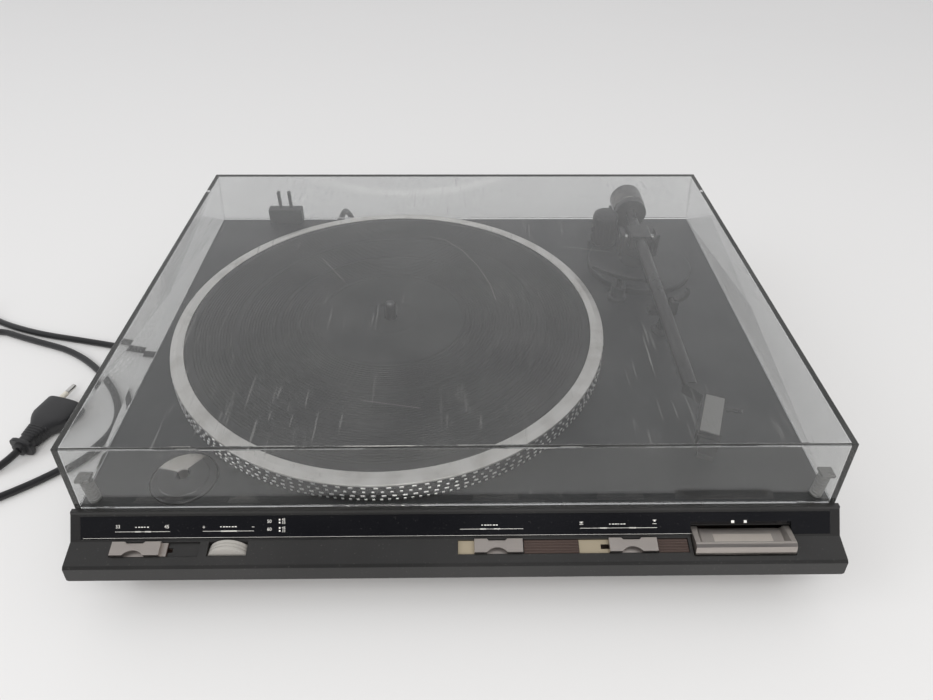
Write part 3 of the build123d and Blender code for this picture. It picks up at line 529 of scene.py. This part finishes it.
def make_strain_relief():
    """A tapered sleeve with cooling-fin slots, round the cord where it leaves the back."""
    x, z, y = -110.0, 38.0, 178.0
    centre = Vector((x, y, z)) * MM
    axis = (0, 1, 0)
    collar = [(2.6, 1.9), (7.2, 1.9), (7.6, 1.2), (7.6, 0.02), (2.6, 0.02)]
    lathe("cord_collar", collar, centre, "rubber_black", "plinth", 64, axis)
    rings = [(2.62, 2.0)]
    length, count = 24.0, 8
    for i in range(count):
        at = 2.0 + length * i / count
        r = 4.7 - 1.5 * i / count
        rings += [(r, at), (r, at + 1.9), (r - 0.9, at + 2.1), (r - 0.9, at + 2.8)]
    rings.append((2.62, 2.0 + length))
    relief = lathe("cord_relief", rings, centre, "rubber_black", "plinth", 64, axis)
    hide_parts("cord_gland")
    return relief


def superellipse(half_w, half_h, count=40, power=3.2):
    ring = []
    for i in range(count):
        a = 2 * math.pi * i / count
        c, s = math.cos(a), math.sin(a)
        across = math.copysign(abs(c) ** (2 / power), c)
        upward = math.copysign(abs(s) ** (2 / power), s)
        ring.append((across * half_w, upward * half_h))
    return ring


def make_plug():
    """The flat two-pin plug: collar, neck, ribbed grip and shoulders, with part-sleeved pins."""
    tail, face = Vector((-304.7, -62.8, 6.85)), Vector((-290.2, -16.2, 6.85))
    ahead = (face - tail).normalized()
    length = (face - tail).length
    place = frame_at(tail, ahead, (0, 0, 1))
    # distance from the tail, half width, half height
    stations = [(0.0, 3.0, 3.0), (0.1, 4.3, 4.2), (2.8, 4.5, 4.4), (3.0, 8.6, 6.3), (3.4, 9.0, 6.6),
                (5.6, 9.0, 6.6), (6.0, 8.6, 6.3), (6.2, 5.2, 4.9), (10.0, 5.2, 5.0)]
    ribs = 5
    for i in range(ribs):
        at = 10.6 + 2.2 * i
        half = 5.5 + 0.55 * i
        stations += [(at, half, 5.2), (at + 0.35, half + 0.7, 5.7)]
        stations += [(at + 1.2, half + 0.8, 5.8), (at + 1.5, half + 0.2, 5.3)]
    stations += [(22.6, 9.0, 6.0), (26.0, 11.6, 6.7), (29.5, 13.9, 6.82), (33.0, 15.3, 6.85),
                 (length - 1.2, 15.4, 6.85), (length - 0.3, 15.1, 6.6), (length, 14.2, 5.9)]
    verts, faces = [], []
    count = 40
    for s, half_w, half_h in stations:
        for w, h in superellipse(half_w, half_h, count):
            verts.append(place @ (Vector((s, w, h)) * MM))
    for k in range(len(stations) - 1):
        for i in range(count):
            a, b = k * count + i, k * count + (i + 1) % count
            faces.append((a, b, b + count, a + count))
    faces.append(tuple(range(count)))
    faces.append(tuple((len(stations) - 1) * count + i for i in range(count)))
    body = add_mesh("plug_body", verts, faces, "plug_black", "plinth")
    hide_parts("mains_plug")
    pieces = [body]
    for side, tag in ((-1, "a"), (1, "b")):
        root = place @ (Vector((length, side * 8.9, 0)) * MM)
        sleeve = [(0.05, 0.0), (1.98, 0.0), (1.98, 9.6), (1.6, 9.9), (0.05, 9.9)]
        pieces.append(lathe("pin_sleeve_" + tag, sleeve, root, "ivory", "plinth", 32, ahead))
        tip = [(0.05, 9.9), (1.75, 9.9), (1.9, 10.2), (1.9, 17.4), (1.5, 18.5), (0.8, 18.95), (0.05, 19.0)]
        pieces.append(lathe("pin_tip_" + tag, tip, root, "pin_metal", "plinth", 32, ahead))
    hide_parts("plug_pins")
    return pieces


cord, cord_route = make_cord()
relief = make_strain_relief()
plug = make_plug()


def route_length(obj):
    """The cord's own line, measured on its spline without its bevel."""
    bare = obj.copy()
    bare.data = obj.data.copy()
    bare.data.bevel_depth = 0.0
    bpy.context.scene.collection.objects.link(bare)
    bpy.context.view_layer.update()
    mesh = bpy.data.meshes.new_from_object(bare.evaluated_get(bpy.context.evaluated_depsgraph_get()))
    spots = [v.co.copy() for v in mesh.vertices]
    total = sum((spots[a] - spots[b]).length for a, b in (e.vertices for e in mesh.edges))
    data = bare.data
    bpy.data.objects.remove(bare)
    bpy.data.curves.remove(data)
    bpy.data.meshes.remove(mesh)
    return total


print("cord length", round(route_length(cord), 3))

# ---- platter and mat ----
px, py = platter_at.x / MM, platter_at.y / MM
mat_low, mat_high = (v[2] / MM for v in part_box("platter_mat"))
rim_r = (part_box("platter")[1][0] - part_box("platter")[0][0]) / 2 / MM
mat_r = (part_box("platter_mat")[1][0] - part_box("platter_mat")[0][0]) / 2 / MM


MAT_BORE = 4.4
RING_PITCH = 2.0
BAND_TOP, BAND_FOOT = 66.2, 54.6
DOT_HEIGHT, DOT_DEPTH = 1.45, 0.42
DOT_ROWS = [(133, 64.4, 2.7), (180, 61.1, 1.8), (160, 57.8, 2.7), (216, 54.9, 1.7)]  # count, height, width


def make_mat():
    """Rubber mat: plain rim, bands of fine rings, a sunk label area."""
    top = mat_high
    groove, crest, label = top - 0.5, top - 0.06, top - 0.7
    outline = [(MAT_BORE, mat_low), (mat_r, mat_low), (mat_r, top - 0.9), (mat_r - 0.3, top - 0.35)]
    outline.append((mat_r - 1.0, top))
    border = mat_r - 6.0
    outline += [(border + 0.6, top), (border, groove)]
    for outer, inner in ((border, 108.0), (105.0, 80.0), (77.0, 54.0)):
        r = outer - 0.4
        while r - RING_PITCH > inner:
            outline += [(r, groove), (r - 0.35, crest)]
            outline += [(r - RING_PITCH + 0.75, crest), (r - RING_PITCH + 0.4, groove)]
            r -= RING_PITCH
        outline += [(inner - 0.2, groove), (inner - 0.6, top), (inner - 2.4, top), (inner - 2.8, groove)]
    outline += [(50.0, groove), (49.4, label), (20.0, label), (19.6, top - 0.62), (18.2, top - 0.62)]
    outline += [(17.8, label), (MAT_BORE, label)]
    mat = lathe("mat_rings", outline, (px * MM, py * MM, 0), "rubber_black", "platter", 220)
    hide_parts("platter_mat")


def make_strobe_dots():
    """Four rows of raised bright dots round the rim, one for each speed and mains frequency."""
    top_r = rim_r - 0.2
    dots = Blocks()
    for count, z, width in DOT_ROWS:
        share = (BAND_TOP - z) / (BAND_TOP - BAND_FOOT)
        r = top_r + (rim_r - top_r) * share
        for i in range(count):
            a = 2 * math.pi * i / count
            out = (math.cos(a), math.sin(a), 0.0)
            spot = (px + (r - 0.1) * out[0], py + (r - 0.1) * out[1], z)
            dots.add(frame_at(spot, (-out[1], out[0], 0.0), out), (width, DOT_HEIGHT, DOT_DEPTH), 0.3)
    dots.build("strobe_dots", "dot_metal", "platter")


make_mat()
make_strobe_dots()

# ---- fascia details ----
SLOPE_AT, SLOPE_Z = Vector((0, -157.15, 47.25)), Vector((0, -0.764, 0.645)).normalized()
LEDGE_AT, LEDGE_Z = Vector((0, -168.7, 39.85)), Vector((0, -0.239, 0.971)).normalized()
X_DIR = (1, 0, 0)
SCALE_ROW, HAIRLINE = -2.2, 0.22


def on_plane(origin, normal, x, y, lift=0.0):
    """A placing matrix for a spot x, y mm along a sloping face, lifted off it."""
    up = normal.cross(Vector(X_DIR))
    return frame_at(origin + Vector((x, 0, 0)) + up * y + normal * lift, X_DIR, normal)


def make_marks():
    """Scale lines, pointers, ticks and bars in pale ink on the window; dial numbers only."""
    ink = Blocks()
    thick = 0.03

    def bar(x0, x1, y, width):
        ink.add(on_plane(SLOPE_AT, SLOPE_Z, (x0 + x1) / 2, y), (x1 - x0, width, thick))

    for x0, x1 in ((-190.4, -160.1), (-141.9, -113.6), (1.0, 36.3), (68.2, 111.6)):
        bar(x0, x1, SCALE_ROW, HAIRLINE)
    for x0, x1 in ((-179.4, -176.1), (-173.9, -170.6), (-131.9, -123.1), (12.2, 15.5), (20.0, 23.4),
                   (79.5, 83.4), (95.8, 99.7)):
        bar(x0, x1, SCALE_ROW, 0.62)
    bar(-142.1, -140.6, 0.1, 0.22)
    ink.add(on_plane(SLOPE_AT, SLOPE_Z, -141.35, 0.1), (0.22, 1.5, thick))
    bar(-114.9, -113.4, 0.0, 0.22)
    # short bars stand where the controls' names were
    for x0, x1, y in ((-179.2, -170.8, 0.3), (-132.4, -122.8, 0.2), (13.0, 22.6, 0.0), (84.6, 94.6, 0.0)):
        steps = int((x1 - x0) / 1.6)
        for i in range(steps):
            bar(x0 + 1.6 * i, x0 + 1.6 * i + (1.15 if i % 3 else 0.8), y, 0.5)
    for y in (3.9, 2.3, -0.7, -2.3):
        ink.add(on_plane(SLOPE_AT, SLOPE_Z, -99.4, y), (0.9, 0.9, thick))
    # cue symbols: a small mark over a line, high and low
    for x, gap in ((69.0, 0.4), (110.2, 1.2)):
        bar(x - 1.1, x + 1.1, 0.0, 0.25)
        bar(x - 0.5, x + 0.5, 0.35 + gap, 0.5)
        bar(x - 1.0, x + 1.0, 0.85 + gap, 0.35)
    # start and stop symbols
    bar(153.4, 155.2, 0.8, 1.5)
    bar(160.6, 162.2, 0.8, 1.5)
    bar(-208.0, 131.0, -5.7, 0.16)
    ink.build("window_marks", "ink", "plinth")
    numbers = [("33", -190.2, -0.2, 2.0), ("45", -163.2, -0.4, 2.0)]
    numbers += [("50", -106.4, 2.2, 1.9), ("60", -106.4, -2.2, 1.9)]
    numbers += [(text, -98.2, y, 1.5) for text, y in (("45", 3.3), ("33", 1.6), ("45", -1.3), ("33", -3.0))]
    for i, (text, x, y, height) in enumerate(numbers):
        font = bpy.data.curves.new("number", "FONT")
        font.body, font.size, font.extrude = text, height * 1.35 * MM, 0.012 * MM
        source = bpy.data.objects.new("number", font)
        bpy.context.scene.collection.objects.link(source)
        bpy.context.view_layer.update()
        mesh = bpy.data.meshes.new_from_object(source.evaluated_get(bpy.context.evaluated_depsgraph_get()))
        mesh.transform(on_plane(SLOPE_AT, SLOPE_Z, x, y, 0.02))
        mesh.materials.clear()
        mesh.materials.append(LOOKS["ink"])
        obj = bpy.data.objects.new(f"dial_number_{i}", mesh)
        bpy.context.scene.collection.objects.link(obj)
        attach(obj, "plinth")
        bpy.data.objects.remove(source)
        bpy.data.curves.remove(font)


def make_ribs():
    """Brown trims with fine ribs that run along them."""
    ribs = Blocks()
    for x0, x1 in ((36.5, 67.0), (111.4, 128.3)):
        ribs.add(on_plane(LEDGE_AT, LEDGE_Z, (x0 + x1) / 2, 2.15, -1.55), (x1 - x0, 8.0, 0.75))
        for i in range(5):
            place = on_plane(LEDGE_AT, LEDGE_Z, (x0 + x1) / 2, -1.0 + 1.57 * i, -0.8)
            ribs.add(place, (x1 - x0, 0.95, 0.5), 0.2)
    trims = ribs.build("trim_ribs", "brown_trim", "plinth")
    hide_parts("ribbed_trims")


def make_button_inlay():
    low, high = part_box("start_button")
    inlay = Blocks()
    spot = ((low[0] + high[0]) / 2 / MM + 0.4, -163.6, 42.2)
    inlay.add(frame_at(spot, X_DIR, (0, 0, 1)), (33.0, 5.6, 0.12), 0.05)
    inlay.build("button_inlay", "inlay_silver", "start_button")


def make_speed_slot():
    """Brown and cream slivers that show beside the speed knob."""
    for x, width, look, tag in ((-163.1, 1.3, "cream", "cream"), (-161.4, 1.6, "brown_trim", "brown")):
        strip = Blocks()
        strip.add(on_plane(LEDGE_AT, LEDGE_Z, x, 2.1, -1.55), (width, 7.4, 0.9), 0.1)
        strip.build("speed_strip_" + tag, look, "plinth")


make_marks()
make_speed_slot()
make_ribs()
make_button_inlay()


# ---- cover and its bumpers ----
BUMPER_X, BUMPER_Y, BUMPER_R, BUMPER_NECK = 205.2, -140.3, 3.5, 2.9
BUMPER_TOP = 71.2
BUMPER_RINGS = 7
COVER_WALL = 2.5
COVER_SIDE, COVER_FRONT, COVER_BACK = 213.7, -148.7, 178.0
LID_LEFT, LID_RIGHT, LID_BEHIND = -212.9, 213.1, 210.0
LID_FRONT, LID_BACK = -144.9, 177.0


def make_bumpers():
    """Ribbed posts in the front corners, each under a small shelf."""
    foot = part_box("cover_bumpers")[0][2] / MM
    for side, tag in ((-1, "left"), (1, "right")):
        outline = [(0.05, foot), (3.2, foot), (BUMPER_R, foot + 0.4)]
        step = (BUMPER_TOP - foot - 1.0) / BUMPER_RINGS
        for i in range(BUMPER_RINGS):
            z = foot + 0.6 + step * i
            outline += [(BUMPER_R, z + 0.2), (BUMPER_R, z + step * 0.55)]
            outline += [(BUMPER_NECK, z + step * 0.7), (BUMPER_NECK, z + step * 0.9)]
        outline += [(BUMPER_R, BUMPER_TOP - 0.3), (BUMPER_R, BUMPER_TOP), (0.05, BUMPER_TOP)]
        at = Vector((side * BUMPER_X, BUMPER_Y, 0)) * MM
        lathe("bumper_" + tag, outline, at, "cover_tab", "cover", 48)
    tab = Blocks()
    for side in (-1, 1):
        spot = (side * (BUMPER_X + 0.2), BUMPER_Y - 0.3, BUMPER_TOP + 0.05)
        tab.add(frame_at(spot, X_DIR, (0, 0, 1)), (7.6, 7.2, 1.6), 0.2)
    shelf = tab.build("bumper_shelves", "cover_tab", "cover")
    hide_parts("cover_bumpers")


def make_cover_shell():
    """One eased shell over the CAD cover's panels; its sides stand steeper towards the front."""
    low_z, high_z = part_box("dust_cover")[0][2] / MM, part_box("dust_cover")[1][2] / MM
    rings = []
    for d, top_z in ((0.0, high_z), (COVER_WALL, high_z - COVER_WALL)):
        x0, x1, y0, y1 = -COVER_SIDE + d, COVER_SIDE - d, COVER_FRONT + d, COVER_BACK - d
        low = [(x0, y0), (x1, y0), (x1, y1), (x0, y1)]
        front, back, behind = LID_FRONT + d, LID_BACK - d, LID_BEHIND - d
        top = [(LID_LEFT + d, front), (LID_RIGHT - d, front), (behind, back), (-behind, back)]
        rings += [[(x, y, low_z) for x, y in low], [(x, y, top_z) for x, y in top]]
    verts = [Vector(v) * MM for ring in rings for v in ring]
    faces = [(4, 5, 6, 7), (12, 15, 14, 13)]
    for i in range(4):
        j = (i + 1) % 4
        faces += [(i, j, j + 4, i + 4), (j + 8, i + 8, i + 12, j + 12), (j, i, i + 8, j + 8)]
    shell = add_mesh("cover_shell", verts, faces, "acrylic", "cover", smooth=False)
    bm = bmesh.new()
    bm.from_mesh(shell.data)
    bmesh.ops.bevel(bm, geom=bm.edges, offset=0.0004, segments=2, affect="EDGES", profile=0.5)
    bm.to_mesh(shell.data)
    bm.free()
    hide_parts("dust_cover", "dust_cover_front")


def make_scratches():
    """Old scratches on the top of the cover: one long curl and a few short strokes."""
    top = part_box("dust_cover")[1][2] / MM
    lines = [
        [(-21.8, 71.3), (-8.8, 65.4), (4.0, 51.0), (15.2, 29.3), (22.9, 6.4), (26.2, -12.6)],
        [(-98.0, 40.5), (-77.6, 9.4)],
        [(77.4, 56.4), (113.5, 47.8)],
        [(-55.1, -108.8), (-21.0, -115.5)],
    ]
    hairs = Blocks()
    for line in lines:
        for (x0, y0), (x1, y1) in zip(line, line[1:]):
            spot = ((x0 + x1) / 2, (y0 + y1) / 2, top - 0.005)
            along = (x1 - x0, y1 - y0, 0.0)
            hairs.add(frame_at(spot, along, (0, 0, 1)), (math.hypot(x1 - x0, y1 - y0), 0.12, 0.03))
    hairs.build("cover_scratches", "scratch", "cover")


make_cover_shell()
make_scratches()
make_bumpers()

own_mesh(nodes["button_spring"])
